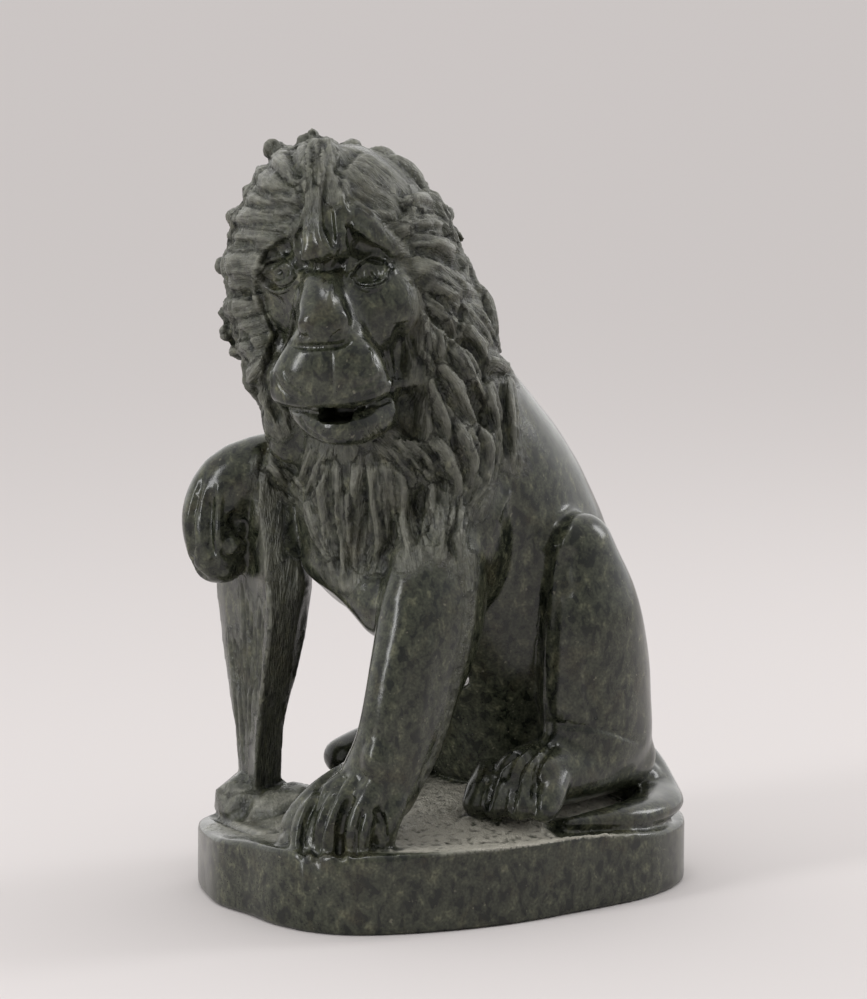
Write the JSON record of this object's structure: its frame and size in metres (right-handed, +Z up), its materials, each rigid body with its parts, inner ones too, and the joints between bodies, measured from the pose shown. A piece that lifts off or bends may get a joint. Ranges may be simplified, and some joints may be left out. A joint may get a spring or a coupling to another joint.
{
  "type": "carved stone lion statuette",
  "caption": "Seated lion with a turned head, one forepaw draped over an upright shield, carved in one block with its low oval plinth.",
  "frame": {"origin": "middle of the whole carving's outline in plan, on the underside of the plinth", "axes": "+Z up; the lion sits facing -Y, its left flank on +X, its head turned towards +X"},
  "size_m": [0.1782, 0.203, 0.3029],
  "materials": {
    "dark_green_stone": "hand-polished dark green mottled stone, with rough chiselled mane and ground holding pale dust"
  },
  "bodies": {
    "root": {"lion_sculpture": "dark_green_stone"}
  },
  "joints": []
}
